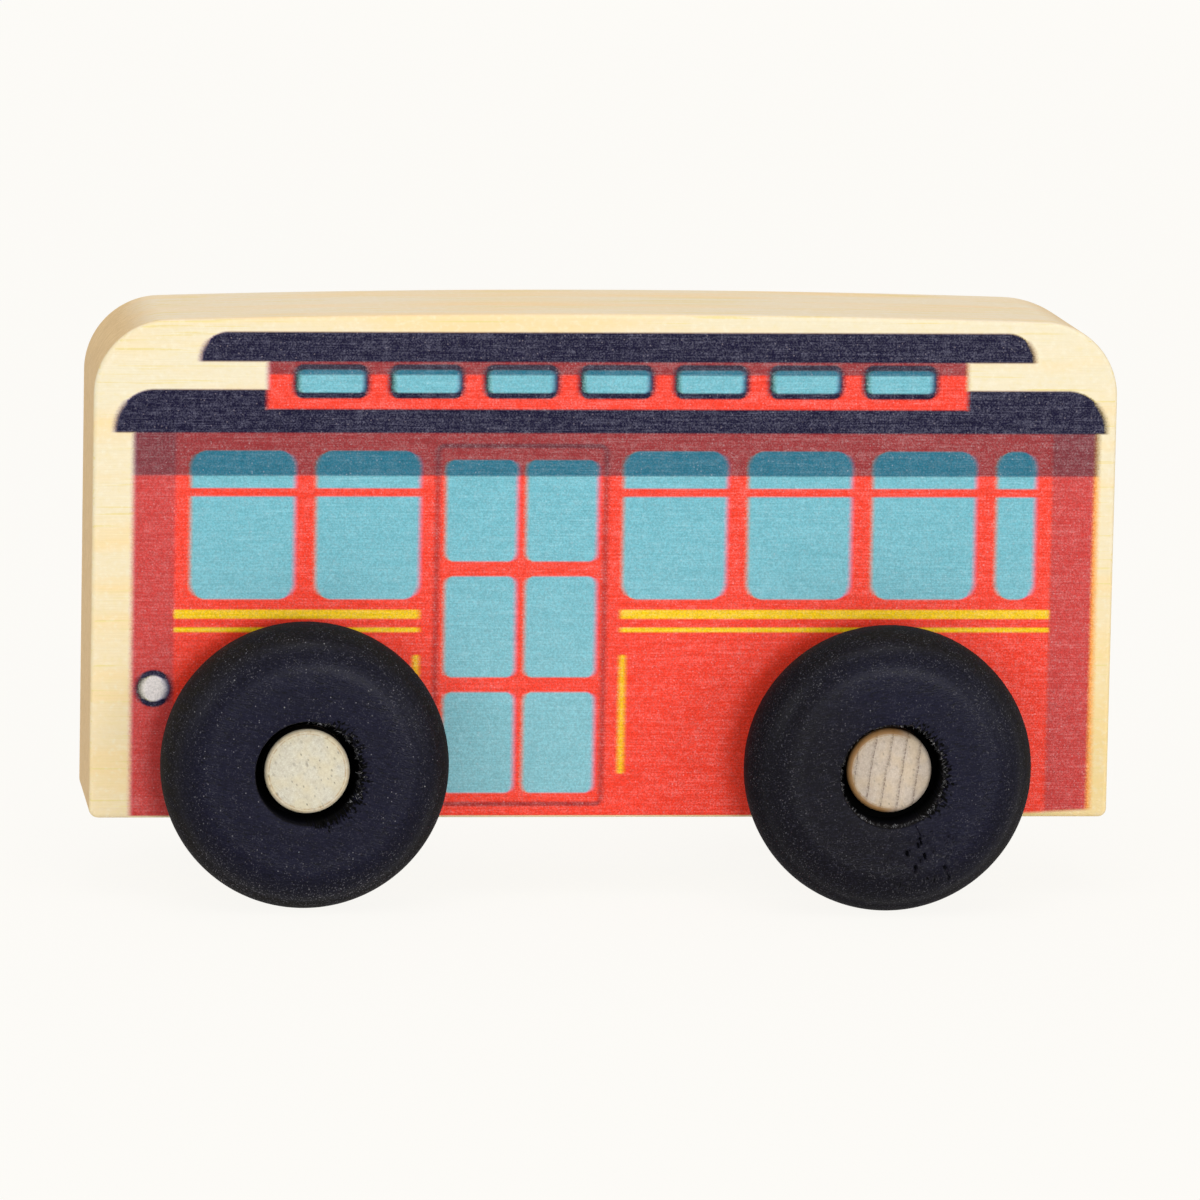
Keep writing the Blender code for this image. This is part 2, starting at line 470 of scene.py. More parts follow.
def linkObject(name, data):
    item = bpy.data.objects.new(name, data)
    bpy.context.scene.collection.objects.link(item)
    return item


def linkMesh(name, bm):
    mesh = bpy.data.meshes.new(name)
    bm.to_mesh(mesh)
    bm.free()
    return linkObject(name, mesh)


def plainMesh(item, name):
    # The object's evaluated shape as a mesh of its own, with no modifier left on the object
    bpy.context.view_layer.update()
    shape = item.evaluated_get(bpy.context.evaluated_depsgraph_get())
    mesh = bpy.data.meshes.new_from_object(shape)
    mesh.name = name
    item.modifiers.clear()
    item.data = mesh
    return mesh


def buildBlock(sizes, material):
    bm = bmesh.new()
    sides = []
    for y, rearRoof in ((blockLow.y, sizes["roofCorner"]), (blockHigh.y, sizes["wornCorner"])):
        sides.append([bm.verts.new((x, y, z)) for x, z in blockOutline(sizes, rearRoof)])
        bm.faces.new(sides[-1])
    left, right = sides
    for number in range(len(left)):
        bm.faces.new((left[number - 1], left[number], right[number], right[number - 1]))
    bmesh.ops.recalc_face_normals(bm, faces=bm.faces)
    item = linkMesh("printedBlock", bm)
    ease = item.modifiers.new("easedEdges", "BEVEL")
    ease.width = sizes["easedEdge"]
    ease.segments = sizes["edgeSteps"]
    ease.limit_method = "ANGLE"
    ease.angle_limit = math.radians(sizes["edgeAngle"])
    ease.use_clamp_overlap = False

    drills = []
    for end in ("front", "rear"):
        pegLow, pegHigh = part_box(f"{end}_left_axle_peg")
        bm = bmesh.new()
        bmesh.ops.create_cone(bm, cap_ends=True, segments=sizes["holeSegments"], radius1=sizes["pegHole"],
                              radius2=sizes["pegHole"], depth=2 * (blockHigh.y - blockLow.y))
        middle = ((pegLow.x + pegHigh.x) / 2, 0, (pegLow.z + pegHigh.z) / 2)
        bm.transform(Matrix.Translation(middle) @ Matrix.Rotation(math.pi / 2, 4, "X"))
        drills.append(linkMesh(f"{end}PegDrill", bm))
        hole = item.modifiers.new(f"{end}Hole", "BOOLEAN")
        hole.operation = "DIFFERENCE"
        hole.object = drills[-1]
    item.modifiers.new("flatSides", "WEIGHTED_NORMAL").keep_sharp = True
    item.data.shade_smooth()
    mesh = plainMesh(item, "printedBlock")
    mesh.materials.clear()
    mesh.materials.append(material)
    for drill in drills:
        bpy.data.objects.remove(drill, do_unlink=True)
    return item


def mapleMaterial(tones):
    material, tree, shader = startMaterial("printedMaple", tones["specular"])
    place, normal = millimetres(tree)
    x, y, z = splitAxes(place)
    facingEnd, _, facingUp = splitAxes(normal)
    grain = grainAlong(place, 0.55, 0.14, 42.0)
    broad = grainAlong(place, 5.0, 1.1, 7.0)
    pebble = noise(place, 4.1, 2.0, 0.7)
    fromSide = minus(blockHigh.y / mm, calc("ABSOLUTE", y))

    # Face grain: cream, warmer clouds, a painted warm cast of light towards the bottom, a few yellow streaks,
    # pale flecks, dark pins
    warmCloudsAndLowCast = plus(ramp(broad["Streak"], 0.42, 0.78), ramp(z, 70.0, 15.0, top=0.6))
    foot = times(ramp(x, 54.0, 67.0), ramp(z, 48.0, 16.0, top=0.5))
    stretched = vectorCalc("MULTIPLY", place, (0.75, 1.0, 1.0))
    figure = noise(stretched, 1.7, 3.0, 0.6)
    wood = layers(
        tones["cream"],
        (warmCloudsAndLowCast, tones["warm"]),
        (ramp(broad["Fibre"], 0.58, 0.76, top=0.25), tones["streak"]),
        (foot, tones["foot"]),
        (ramp(grain["Streak"], 0.59, 0.66, top=0.80), tones["streak"]),
        (ramp(figure, 0.48, 0.78, top=0.34), tones["pale"]),
        (ramp(figure, 0.48, 0.28, top=0.25), tones["streak"]),
        (times(scatter(stretched, 6.0, 0.16, 0.4), 0.8), tones["pin"]))
    silk = ramp(grain["Fibre"], 0.30, 0.70, 0.985, 1.01)
    wood = paint(1.0, wood, joinAxes(silk, silk, silk), mode="MULTIPLY")
    # The top is made rosier, partly for its sanded grain and partly as a painted cast of light
    wood = paint(ramp(facingUp, 0.6, 0.9), wood, tones["topGrainAndLightCast"], mode="MULTIPLY")

    # End grain on the two ends and down the roof corners, inside the eased edges
    onEnd = ramp(calc("ABSOLUTE", facingEnd), 0.06, 0.65)
    onEnd = times(onEnd, ramp(fromSide, 0.15, 0.75))
    ends = grainAlong(turned(place, (0, 62, 0)), 0.6, 0.15, 5.0)
    endTone = layers(
        tones["endGrain"],
        (ramp(ends["Streak"], 0.34, 0.72, top=0.62), tones["endGrainDark"]),
        (ramp(ends["Fibre"], 0.52, 0.68, top=0.75), tones["endGrainDark"]))
    wood = paint(onEnd, wood, endTone)

    # Ink: two plates sit a little off the third, and all creep along the fibres
    onSide = ramp(fromSide, 0.12, 0.02)
    inkX = plus(x, times(minus(pebble, 0.5), tones["inkBleed"]))
    inkH = minus(z, blockLow.z / mm)
    plates = []
    for shift in (0.0, tones["plateShift"]):
        plate = useGroup(trolleyLivery, {"X": plus(inkX, shift), "H": inkH})
        inked = times(plate["Ink"], onSide)
        inkedWood = paint(inked, wood, plate["Color"])
        plates.append(addNode("ShaderNodeSeparateColor", {"Color": inkedWood}).outputs)
    nominal, shifted = plates
    printed = addNode("ShaderNodeCombineColor", {
        "Red": shifted["Red"], "Green": shifted["Green"], "Blue": nominal["Blue"]})

    # Print texture: fine mottling, faint hairlines along the fibres, pale pinholes down to the wood that are
    # partly painted glints
    lines = ramp(grain["Fibre"], 0.30, 0.70, 0.955, 1.03)
    tone = times(lines, ramp(noise(place, 4.4, 2.0, 0.6), 0.25, 0.75, 0.83, 1.16))
    printed = paint(inked, printed, joinAxes(tone, tone, tone), mode="MULTIPLY")
    pinholesAndGlints = times(scatter(place, 0.5, 0.14, 0.35), 0.16, inked)

    # Bare wood is dry; the ink has a thin varnish that stands in beads along the fibres, less on dark ink
    pools = noise(place, 0.9, 2.0, 0.6)
    beads = plus(times(pebble, 0.5), times(grain["Fibre"], 0.28), times(pools, 0.22))
    varnish = times(ramp(beads, 0.42, 0.80), inked)
    onDark = ramp(largest(shifted["Red"], shifted["Green"]), 0.12, 0.0)
    # Pinholes show pale, partly as painted glints, and the varnish beads on dark ink get a painted bluish
    # glint
    printed = layers(printed, (pinholesAndGlints, tones["paper"]), (times(varnish, onDark), tones["glint"]))
    held = ramp(shifted["Red"], 0.0, 0.12, 0.72, 1.0)
    relief = plus(grain["Fibre"], times(pebble, inked, 1.6))
    feedAll(shader, {
        "Base Color": printed,
        "Roughness": ramp(grain["Fibre"], 0.25, 0.75, 0.50, 0.66),
        "Coat Weight": times(varnish, held),
        "Coat IOR": tones["varnishIor"],
        "Coat Roughness": tones["varnishRoughness"],
        "Normal": bump(relief, 0.5, 0.06 * mm),
    })
    return material


blockPiece = buildBlock(block, mapleMaterial(maple))
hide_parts("trolley_block")
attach(blockPiece, "block")
print("block built, faces:", len(blockPiece.data.polygons))


# Turned pieces: a profile of corners with their own rounding, spun about Z by a geometry tree

axleEnds = (("front", "left", -1), ("front", "right", 1), ("rear", "left", -1), ("rear", "right", 1))
spinRail = 10 * mm      # radius of the circle that carries a profile round


def pick(kind, values):
    # One of the values for each point, by its number
    index = treeOf(values).nodes.new("GeometryNodeInputIndex")
    switch = addNode("GeometryNodeIndexSwitch", {0: index}, data_type=kind)
    while len(switch.index_switch_items) < len(values):
        switch.index_switch_items.new()
    feedAll(switch, dict(enumerate(values, 1)))
    return switch


def spinProfile(corners, closed, segments, rail):
    # Each corner is its radius, its height, its rounding and the steps in that; the list runs clockwise
    places = [vectorCalc("MULTIPLY_ADD", joinAxes(radius, height, 0.0), (1, -1, 1), (-rail, 0, 0))
              for radius, height, *_ in corners]
    points = addNode("GeometryNodePoints", {"Count": len(corners), "Position": pick("VECTOR", places)})
    line = addNode("GeometryNodePointsToCurves", {"Points": points})
    line = addNode("GeometryNodeSetSplineCyclic", {"Geometry": line, "Cyclic": closed})
    line = addNode("GeometryNodeFilletCurve", {
        "Curve": line, "Limit Radius": True,
        "Radius": pick("FLOAT", [corner[2] for corner in corners]),
        "Count": pick("INT", [corner[3] for corner in corners])}, mode="POLY")
    ring = addNode("GeometryNodeCurvePrimitiveCircle", {"Resolution": segments, "Radius": rail})
    skin = addNode("GeometryNodeCurveToMesh", {"Curve": ring, "Profile Curve": line})
    return addNode("GeometryNodeMergeByDistance", {"Geometry": skin, "Distance": 0.001 * mm})


def realWith(geometry, material):
    real = addNode("GeometryNodeRealizeInstances", {"Geometry": geometry})
    return addNode("GeometryNodeSetMaterial", {"Geometry": real, "Material": material})


def growPiece(name, tree, values, matrix, smoothAngle=35):
    # Runs a tree with its own values, then puts the plain mesh in its place
    item = linkObject(name, bpy.data.meshes.new(name))
    modifier = item.modifiers.new(name, "NODES")
    modifier.node_group = tree
    for socket in tree.interface.items_tree:
        if socket.in_out == "INPUT" and socket.name in values:
            modifier[socket.identifier] = values[socket.name]
    mesh = plainMesh(item, name)
    mesh.transform(matrix)
    mesh.shade_smooth()
    mesh.set_sharp_from_angle(angle=math.radians(smoothAngle))
    return item


def axlePlace(node, outward, fromMiddle=False):
    # The node's axle, with local Z pointing away from the block
    low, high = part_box(node)
    inner = 0 if fromMiddle else (low.y if outward > 0 else high.y)
    centre = Vector(((low.x + high.x) / 2, inner, (low.z + high.z) / 2))
    return centre, Matrix.Translation(centre) @ Matrix.Rotation(-outward * math.pi / 2, 4, "X")


def camelName(*words):
    return words[0] + "".join(word.capitalize() for word in words[1:])


def facingSide(disc, angle):
    # 1 on the side of a disc that lies at an angle in degrees from +X, -1 on the other
    angle = math.radians(angle)
    return vectorCalc("DOT_PRODUCT", vectorCalc("NORMALIZE", disc),
                      (math.cos(angle), 0.0, math.sin(angle)))


# Wheels: round tread, short hub on the shank, deep counterbore with a torn and hairy rim

wheel = {
    "Shoulder": 5.8 * mm,
    "Bore Radius": 3.555 * mm,
    "Counterbore Radius": 6.95 * mm,
    "Hub Length": 4.8 * mm,
    "Rim Rounding": 0.25 * mm,
    "Rim Steps": 3,
    "Shoulder Steps": 20,
    "Segments": 420,
    "Fuzz": 0.20 * mm,          # small wander all round the counterbore's rim
    "Chip Pitch": 0.7 * mm,     # torn teeth on one side of it
    "Chip Reach": 1.9 * mm,
    "Hair Thickness": 0.055 * mm,
    "Gouge Pitch": 0.62 * mm,    # bits torn out of the face, within a zone on one side
    "Gouge Radius": 0.27 * mm,
    "Gouge Distance": 12.4 * mm,
}
faceRings = 26      # rings of points between the torn rim and the shoulder
dye = {
    "face": (0.0050, 0.0050, 0.0185),
    "shoulder": (0.0046, 0.0044, 0.0118),
    "tread": (0.0090, 0.0075, 0.0058),
    # tone of the painted shade on one side of a wheel
    "deep": (0.0026, 0.0020, 0.0044),
    "fibre": (0.0260, 0.0260, 0.0430),
    "speck": (0.1600, 0.1550, 0.1740),
    "grain": (0.3000, 0.2950, 0.2950),
    "pit": (0.0012, 0.0012, 0.0016),
    # bore: painted shade inside the counterbore, along its torn fissures and in the gouges
    "bore": (0.0012, 0.0012, 0.0012),
    "hairDark": (0.014, 0.014, 0.016),
    "hairPale": (0.240, 0.237, 0.247),
    "specular": 0.092,
    "hairSpecular": 0.2,
}


def makeWheelTree(sizes):
    takes = {**sizes, "Tread Radius": 0.019, "Width": 0.0127, "Chip Depth": 0.001, "Chip Angle": 0.0,
             "Chip Spread": 0.5, "Hair Count": 100.0, "Hair Length": 0.0006, "Hair Angle": 0.0,
             "Hair Spread": 0.5, "Gouge Depth": 0.0007, "Gouge Angle": 0.0, "Gouge Zone": 0.005, "Seed": 0,
             "Material": "Material", "Hair Material": "Material"}
    tree, given, result = startGroup("turnedWheel", "GeometryNodeTree", takes, {"Mesh": "Geometry"})
    width = given["Width"]
    bore = given["Bore Radius"]
    rim = given["Counterbore Radius"]
    hub = given["Hub Length"]
    tread = given["Tread Radius"]
    shoulder = given["Shoulder"]
    shoulderSteps = given["Shoulder Steps"]
    chipEdge = plus(rim, given["Chip Reach"])
    faceStep = calc("DIVIDE", minus(tread, shoulder, chipEdge), float(faceRings))
    faceRadii = [calc("MULTIPLY_ADD", faceStep, float(ring), chipEdge) for ring in range(faceRings)]
    corners = (
        (bore, 0.0, 0.0, 1),
        (bore, hub, 0.0, 1),
        (rim, hub, 0.0, 1),
        (rim, minus(width, given["Chip Reach"]), 0.0, 1),
        (rim, width, given["Rim Rounding"], given["Rim Steps"]),
        *((radius, width, 0.0, 1) for radius in faceRadii),
        (tread, width, shoulder, shoulderSteps),
        (tread, 0.0, shoulder, shoulderSteps),
    )
    body = spinProfile(corners, True, given["Segments"], spinRail)

    # Only the counterbore's rim moves: it wanders a little all round and is chipped outwards on one side
    where = tree.nodes.new("GeometryNodeInputPosition")
    x, y, z = splitAxes(where)
    flat = joinAxes(x, y, 0.0)
    outward = vectorCalc("NORMALIZE", flat)
    radius = vectorCalc("LENGTH", flat)
    away = vectorCalc("DISTANCE", joinAxes(radius, z, 0.0), joinAxes(rim, width, 0.0))
    near = ramp(away, given["Chip Reach"], 0.0)

    def towards(angle):
        return joinAxes(calc("COSINE", given[angle]), calc("SINE", given[angle]), 0.0)

    def sector(side):
        facing = vectorCalc("DOT_PRODUCT", outward, towards(side + " Angle"))
        return ramp(facing, given[side + " Spread"], plus(given[side + " Spread"], 0.35))

    lift = times(given["Seed"], 10 * mm)      # each wheel cuts its noise at another height
    shifted = vectorCalc("ADD", where, joinAxes(0.0, 0.0, lift))
    teeth = noise(shifted, calc("DIVIDE", 1.0, given["Chip Pitch"]), 2.0, 0.6)
    fuzz = times(minus(teeth, 0.5), given["Fuzz"])
    chip = times(ramp(teeth, 0.36, 0.62), given["Chip Depth"])
    push = plus(fuzz, times(chip, sector("Chip")))
    offset = vectorCalc("MULTIPLY", outward, times(push, near))

    # Gouges: ragged pits in the face, longer than wide, kept for the material as an attribute
    wobble = noise(shifted, 1.2 / mm).outputs["Color"]
    wobble = vectorCalc("SUBTRACT", wobble, (0.5, 0.5, 0.5))
    ragged = vectorCalc("MULTIPLY_ADD", wobble, (0.7 * mm, 0.7 * mm, 0.0), shifted)
    cell = vectorCalc("MULTIPLY", ragged, (1.0, 0.42, 1.0))
    pits = spots(cell, given["Gouge Pitch"], given["Gouge Radius"], 0.95)
    reach = given["Gouge Distance"]
    middle = vectorCalc("MULTIPLY", towards("Gouge Angle"), joinAxes(reach, reach, 0.0))
    fromMiddle = vectorCalc("DISTANCE", flat, middle)
    zone = ramp(fromMiddle, given["Gouge Zone"], times(given["Gouge Zone"], 0.55))
    onFace = calc("GREATER_THAN", z, minus(width, 1 * mm))
    offRim = calc("GREATER_THAN", radius, chipEdge)
    gouge = times(pits, zone, onFace, offRim)
    sunk = joinAxes(0.0, 0.0, times(gouge, given["Gouge Depth"], -1.0))
    marked = addNode("GeometryNodeStoreNamedAttribute", {
        "Geometry": body, "Name": "gouge", "Value": gouge}, data_type="FLOAT", domain="POINT")
    torn = addNode("GeometryNodeSetPosition", {
        "Geometry": marked, "Offset": vectorCalc("ADD", offset, sunk)})
    dyed = addNode("GeometryNodeSetMaterial", {"Geometry": torn, "Material": given["Material"]})

    # Hairs stand on the torn rim, a little below the face, and lean in over the counterbore
    draws = []

    def rand(low, high):
        draws.append(low)
        seed = plus(given["Seed"], float(len(draws)))
        sockets = {2: low, 3: high, "Seed": seed}
        return addNode("FunctionNodeRandomValue", sockets, data_type="FLOAT").outputs[1]

    onRim = calc("COMPARE", minus(width, z), 0.35 * mm, 0.22 * mm)
    rooted = times(onRim, sector("Hair"), calc("LESS_THAN", radius, chipEdge))
    density = times(calc("DIVIDE", given["Hair Count"], 25 * mm * mm), rooted)
    roots = addNode("GeometryNodeDistributePointsOnFaces", {
        "Mesh": torn, "Density": density, "Seed": given["Seed"]}, distribute_method="RANDOM")
    sideways = vectorCalc("NORMALIZE", joinAxes(times(y, -1.0), x, 0.0))
    lean = vectorCalc("MULTIPLY", outward, rand(-1.0, -0.25))
    lean = vectorCalc("MULTIPLY_ADD", sideways, rand(-0.8, 0.8), lean)
    lean = vectorCalc("ADD", lean, joinAxes(0.0, 0.0, rand(-0.4, 0.0)))
    turn = addNode("FunctionNodeAlignRotationToVector", {"Vector": lean}, axis="Z")
    hair = addNode("GeometryNodeMeshCone", {
        "Vertices": 4, "Side Segments": 2, "Radius Top": 0.15, "Radius Bottom": 1.0, "Depth": 1.0}, tree)
    thickness = times(given["Hair Thickness"], rand(0.4, 1.6))
    size = joinAxes(thickness, thickness, times(given["Hair Length"], rand(0.4, 1.2)))
    hairs = addNode("GeometryNodeInstanceOnPoints", {
        "Points": roots, "Instance": hair, "Rotation": turn, "Scale": size})
    whole = addNode("GeometryNodeJoinGeometry", {"Geometry": dyed})
    feed(whole.inputs[0], realWith(hairs, given["Hair Material"]))
    feed(result[0], whole)
    return tree


def dyeMaterial(name, tones, centre, sizes, look):
    material, tree, shader = startMaterial(name, tones["specular"])
    place, _ = millimetres(tree, centre)
    x, _, z = splitAxes(place)
    disc = joinAxes(x, 0.0, z)
    radius = vectorCalc("LENGTH", disc)
    grain = grainAlong(turned(place, (0, look["grain"], 0)), 1.6, 0.15, 6.0)
    nap = noise(place, 3.6, 3.0, 0.65)

    # Blue-black face, browner shoulder and tread, one side darker as painted shade,
    # then raised fibres and nap: pale on their crests, dark between
    across = splitAxes(turned(disc, (0, look["deepSide"], 0)))[2]
    hairy = plus(times(grain["Fibre"], 0.6), times(nap, 0.4))
    coats = [
        (ramp(radius, 13.0, 16.2), tones["shoulder"]),
        (ramp(radius, 16.0, 18.4), tones["tread"]),
        (ramp(grain["Streak"], 0.35, 0.70, top=0.40), tones["shoulder"]),
        (ramp(across, 5.0, -7.0, top=look["deep"]), tones["deep"]),
        (ramp(hairy, 0.50, 0.72, top=0.70), tones["fibre"]),
        (ramp(hairy, 0.50, 0.34, top=0.80), tones["pit"]),
    ]

    # Pale dust: uneven flecks that gather in clouds and on the shoulder, more low on the shoulder as partly
    # dust and partly a painted floor reflection, and a few bright grains
    clouds = ramp(noise(place, 0.4, 2.0, 0.5), 0.35, 0.65, 0.35, 1.0)
    low = times(ramp(z, -9.0, -16.0), ramp(radius, 14.0, 17.5))
    flecksDustAndReflection = plus(times(clouds, ramp(radius, 11.0, 17.0, 0.5, 0.9)), times(low, look["dust"]))
    flecks = ramp(noise(place, 4.6, 2.0, 0.6), 0.57, 0.72, top=0.60)
    coats.append((times(flecks, flecksDustAndReflection), tones["speck"]))
    for spacing, spot, share, tone in (
            (0.55, 0.11, 0.20, "speck"), (1.9, 0.16, 0.38, "speck"), (1.7, 0.13, 0.24, "grain")):
        grains = scatter(place, spacing, spot, share)
        coats.append((times(grains, look["grit"]), tones[tone]))

    # Gouges with pale lips; painted shade in the gouges, along fissures that run out from the torn rim and
    # down the bore
    gouge = addNode("ShaderNodeAttribute", {}, tree, attribute_name="gouge").outputs["Fac"]
    lip = times(ramp(gouge, 0.02, 0.15), ramp(gouge, 0.45, 0.20), 0.05)
    tornSide = ramp(facingSide(disc, look["Chip Angle"]),
                    look["Chip Spread"], look["Chip Spread"] + 0.35)
    spread = joinAxes(times(calc("ARCTAN2", z, x), 7.0), 0.0, times(radius, 0.4))
    reach = ramp(noise(spread, 3.0, 2.0, 0.6), 0.40, 0.72, 0.0, look["Chip Depth"] + 1.0)
    beyond = minus(radius, sizes["Counterbore Radius"] / mm, times(reach, tornSide))
    boreAndPitShade = largest(ramp(beyond, 0.20, -0.10), ramp(gouge, 0.22, 0.60, top=0.75))
    coats += [(lip, tones["speck"]), (boreAndPitShade, tones["bore"])]

    # Burnished shoulder, duller face, matt tread, dull bore
    sheen = ramp(hairy, 0.30, 0.70, 0.27, 0.38)
    dull = largest(ramp(radius, 13.0, 11.5, top=0.46), ramp(radius, 16.4, 18.0, top=0.80))
    feedAll(shader, {
        "Base Color": layers(tones["face"], *coats),
        "Roughness": largest(sheen, dull, boreAndPitShade),
        "Normal": bump(hairy, 0.5, 0.10 * mm),
    })
    return material


def fibreMaterial(tones):
    material, tree, shader = startMaterial("tornFibre", tones["hairSpecular"])
    place, _ = millimetres(tree)
    shade = noise(place, 1.5, 2.0, 0.6)
    feedAll(shader, {
        "Base Color": paint(ramp(shade, 0.42, 0.68), tones["hairDark"], tones["hairPale"]),
        "Roughness": ramp(shade, 0.3, 0.7, 0.65, 0.85),
    })
    return material


# How each wheel was turned and how its rim tore: front left, front right, rear left, rear right,
# with angles in degrees from +X and lengths in millimetres
wheelLooks = {
    "grain": (-14, 30, 10, -40),
    # painted shade on one side of each wheel: its strength, and the turn of that side in degrees
    "deep": (0.0, 0.4, 0.85, 0.5),
    "deepSide": (0, 100, -60, 20),
    # pale flecks low on the shoulder: partly dust, partly a painted floor reflection
    "dust": (1.5, 0.8, 0.3, 0.6),
    "grit": (1.0, 0.8, 0.5, 0.7),
    "Seed": (3, 19, 11, 27),
    "Chip Depth": (1.0, 0.8, 0.7, 0.7),
    "Chip Angle": (-8, 100, 12, 230),
    "Chip Spread": (0.10, 0.30, 0.30, 0.40),
    "Gouge Depth": (0.0, 0.6, 0.6, 0.7),
    "Gouge Angle": (0, 200, -68, 40),
    "Gouge Zone": (0.1, 4.0, 6.4, 3.5),
    "Hair Count": (170.0, 180.0, 240.0, 220.0),
    "Hair Length": (0.6, 0.5, 0.45, 0.45),
    "Hair Angle": (25, 110, 250, 60),
    "Hair Spread": (0.30, 0.2, -1.6, -1.6),
}
wheelTree = makeWheelTree(wheel)
tornFibre = fibreMaterial(dye)
for number, (end, hand, outward) in enumerate(axleEnds):
    node = f"{end}_{hand}_wheel"
    look = {title: values[number] for title, values in wheelLooks.items()}
    low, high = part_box(node)
    centre, place = axlePlace(node, outward)
    name = camelName(end, hand, "wheel")
    values = {**wheel, **look, "Tread Radius": (high.z - low.z) / 2, "Width": high.y - low.y,
              "Material": dyeMaterial(name + "Dye", dye, centre, wheel, look), "Hair Material": tornFibre}
    for angle in ("Chip Angle", "Hair Angle", "Gouge Angle"):
        values[angle] = math.radians(look[angle])
    for length in ("Chip Depth", "Hair Length", "Gouge Depth", "Gouge Zone"):
        values[length] = look[length] * mm
    piece = growPiece(name, wheelTree, values, place)
    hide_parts(node)
    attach(piece, node)
print("wheels built")


# Axle pegs: straight shank with a chamfered tip, flat head with a rounded rim

peg = {
    "Shank Radius": 3.175 * mm,
    "Head Thickness": 3.5 * mm,
    "Tip Chamfer": 0.6 * mm,
    "Rim Steps": 10,
    "Segments": 96,
}
birch = {
    "pale": (0.730, 0.680, 0.545),
    "white": (0.930, 0.905, 0.810),
    "dull": (0.590, 0.520, 0.395),
    "ring": (0.150, 0.095, 0.075),
    "pore": (0.095, 0.065, 0.042),
    "turning": (0.520, 0.340, 0.150),
    "sap": (0.760, 0.640, 0.380),
    "shank": (0.640, 0.500, 0.320),
    "shankDark": (0.450, 0.310, 0.165),
    "specular": 0.3,
    "ringPitch": 2.05,      # millimetres
}
# Each head, front left, front right, rear left, rear right: growth rings and their tilt in degrees, pores,
# tint; the rim's rounding in millimetres, its tone, partly burnish and partly painted shade, the side in
# degrees from +X that the tone keeps to and how far it reaches round; the painted shade below the rim
pegLooks = {
    "rings": (0.05, 0.40, 0.62, 0.60),
    "tilt": (40, -25, -8, 65),
    "pores": (0.9, 0.7, 0.55, 0.6),
    "tint": ((0.965, 0.985, 1.0), (1.0, 0.960, 0.950), (1.0, 0.915, 0.935), (0.98, 0.930, 0.930)),
    "rim": (0.5, 0.6, 0.7, 0.7),
    "burnish": (0.40, 0.8, 0.90, 0.8),
    "burnishTone": ((0.74, 0.60, 0.38), (0.52, 0.32, 0.12), (0.40, 0.19, 0.048), (0.60, 0.40, 0.18)),
    "burnishSide": (180, 20, 170, 90),
    "burnishReach": (-1.6, -0.8, -0.55, -1.6),
    "stain": ((0.010, 0.006, 0.004), (0.060, 0.030, 0.012), (0.080, 0.034, 0.008), (0.080, 0.040, 0.014)),
    "stainFade": (0.15, 0.40, 0.60, 0.50),
}


def makePegTree(sizes):
    takes = {**sizes, "Head Radius": 0.0056, "Tip": 0.0005, "Head End": 0.022, "Rim Rounding": 0.0009,
             "Material": "Material"}
    tree, given, result = startGroup("axlePeg", "GeometryNodeTree", takes, {"Mesh": "Geometry"})
    shank = given["Shank Radius"]
    chamfered = minus(shank, given["Tip Chamfer"])
    chamferTop = plus(given["Tip"], given["Tip Chamfer"])
    seat = minus(given["Head End"], given["Head Thickness"])
    corners = (
        (0.0, given["Head End"], 0.0, 1),
        (given["Head Radius"], given["Head End"], given["Rim Rounding"], given["Rim Steps"]),
        (given["Head Radius"], seat, 0.0, 1),
        (shank, seat, 0.0, 1),
        (shank, chamferTop, 0.0, 1),
        (chamfered, given["Tip"], 0.0, 1),
        (0.0, given["Tip"], 0.0, 1),
    )
    body = spinProfile(corners, False, given["Segments"], spinRail)
    feed(result[0], realWith(body, given["Material"]))
    return tree


